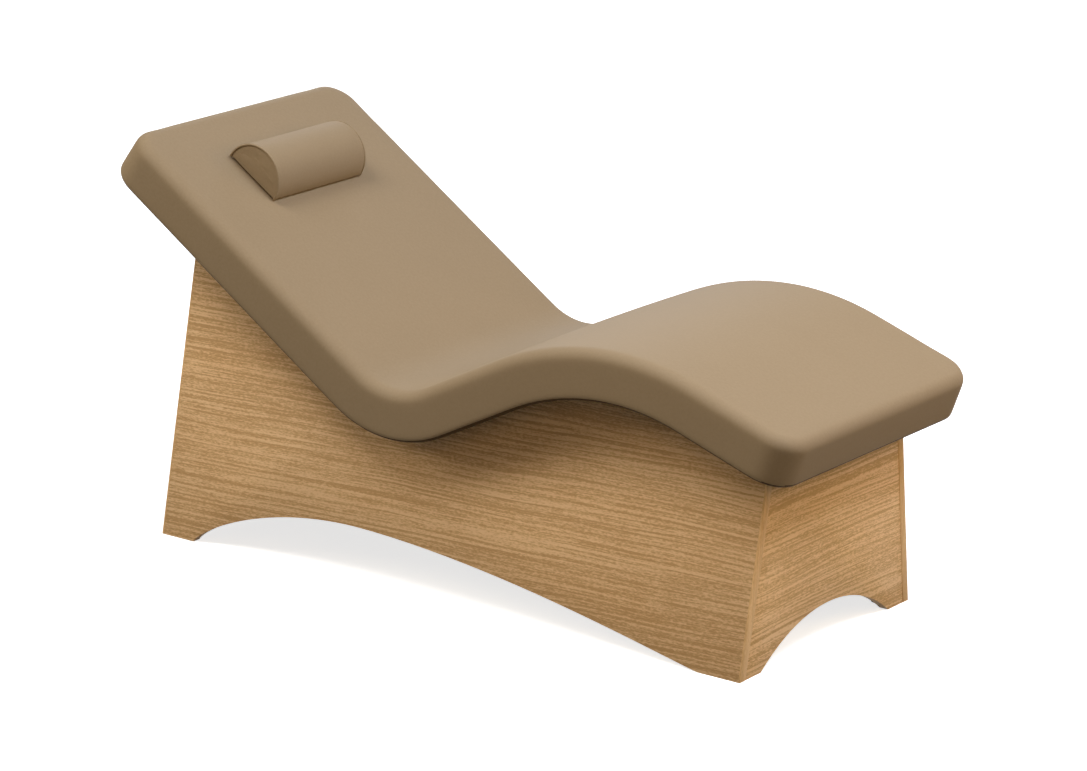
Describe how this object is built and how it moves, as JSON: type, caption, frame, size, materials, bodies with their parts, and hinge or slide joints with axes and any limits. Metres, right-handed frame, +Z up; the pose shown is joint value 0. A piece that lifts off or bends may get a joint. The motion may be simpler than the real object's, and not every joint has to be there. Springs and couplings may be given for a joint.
{
  "type": "spa relaxation lounger",
  "caption": "Wave-shaped spa lounger: one upholstered pad on a box base of inward-leaning wood panels with arched lower edges, a half-round neck pillow and hidden levelling feet.",
  "frame": {"origin": "on the floor, under the middle of the pad in length and width", "axes": "+X runs from the head end to the feet end, +Y to the left side of a person lying on it, +Z is up"},
  "size_m": [1.7908, 0.772, 0.9136],
  "materials": {
    "oak_veneer": "satin lacquered oak veneer, grain along the panel",
    "oak_lipping": "satin lacquered solid oak, grain along the edge",
    "vinyl": "taupe upholstery vinyl with a fine grain, semi-matt",
    "foam": "open-cell foam",
    "birch_ply": "sanded birch plywood",
    "pine": "planed pine",
    "zinc_steel": "bright zinc plated",
    "black_plastic": "moulded, matt",
    "dust_cloth": "non-woven cloth",
    "hook_and_loop": "woven tape"
  },
  "bodies": {
    "lounger": {"side_panel_right": "oak_veneer", "side_panel_left": "oak_veneer", "head_end_panel": "oak_veneer", "feet_end_panel": "oak_veneer", "side_panel_lippings": "oak_lipping", "head_corner_posts": "pine", "feet_corner_posts": "pine", "deck_cleat_right": "birch_ply", "deck_cleat_left": "birch_ply", "upper_back_rail": "birch_ply", "lower_back_rail": "birch_ply", "hip_rail": "birch_ply", "thigh_rail": "birch_ply", "calf_rail": "birch_ply", "rail_brackets": "zinc_steel", "bracket_screws": "zinc_steel", "post_screws": "zinc_steel", "leveller_inserts": "zinc_steel", "bent_deck": "birch_ply", "foam_core": "foam", "pad_cover": "vinyl", "dust_cloth": "dust_cloth", "deck_bolts": "zinc_steel", "deck_washers": "zinc_steel", "deck_tee_nuts": "zinc_steel", "pillow_loop_strips": "hook_and_loop"},
    "neck_pillow": {"pillow_foam": "foam", "pillow_cover": "vinyl", "pillow_end_caps": "vinyl", "pillow_welts": "vinyl", "pillow_hook_strips": "hook_and_loop"},
    "head_right_leveller": {"head_right_leveller_pad": "black_plastic", "head_right_leveller_stud": "zinc_steel"},
    "head_left_leveller": {"head_left_leveller_pad": "black_plastic", "head_left_leveller_stud": "zinc_steel"},
    "feet_right_leveller": {"feet_right_leveller_pad": "black_plastic", "feet_right_leveller_stud": "zinc_steel"},
    "feet_left_leveller": {"feet_left_leveller_pad": "black_plastic", "feet_left_leveller_stud": "zinc_steel"}
  },
  "joints": [
    {"name": "pillow_lift", "type": "slide", "parent": "lounger", "child": "neck_pillow", "axis": [0.5548, 0, 0.832], "range_m": [0, 0.15]},
    {"name": "head_right_leveller_screw", "type": "slide", "parent": "lounger", "child": "head_right_leveller", "axis": [0, 0, -1], "range_m": [0, 0.012]},
    {"name": "head_left_leveller_screw", "type": "slide", "parent": "lounger", "child": "head_left_leveller", "axis": [0, 0, -1], "range_m": [0, 0.012]},
    {"name": "feet_right_leveller_screw", "type": "slide", "parent": "lounger", "child": "feet_right_leveller", "axis": [0, 0, -1], "range_m": [0, 0.012]},
    {"name": "feet_left_leveller_screw", "type": "slide", "parent": "lounger", "child": "feet_left_leveller", "axis": [0, 0, -1], "range_m": [0, 0.012]}
  ]
}
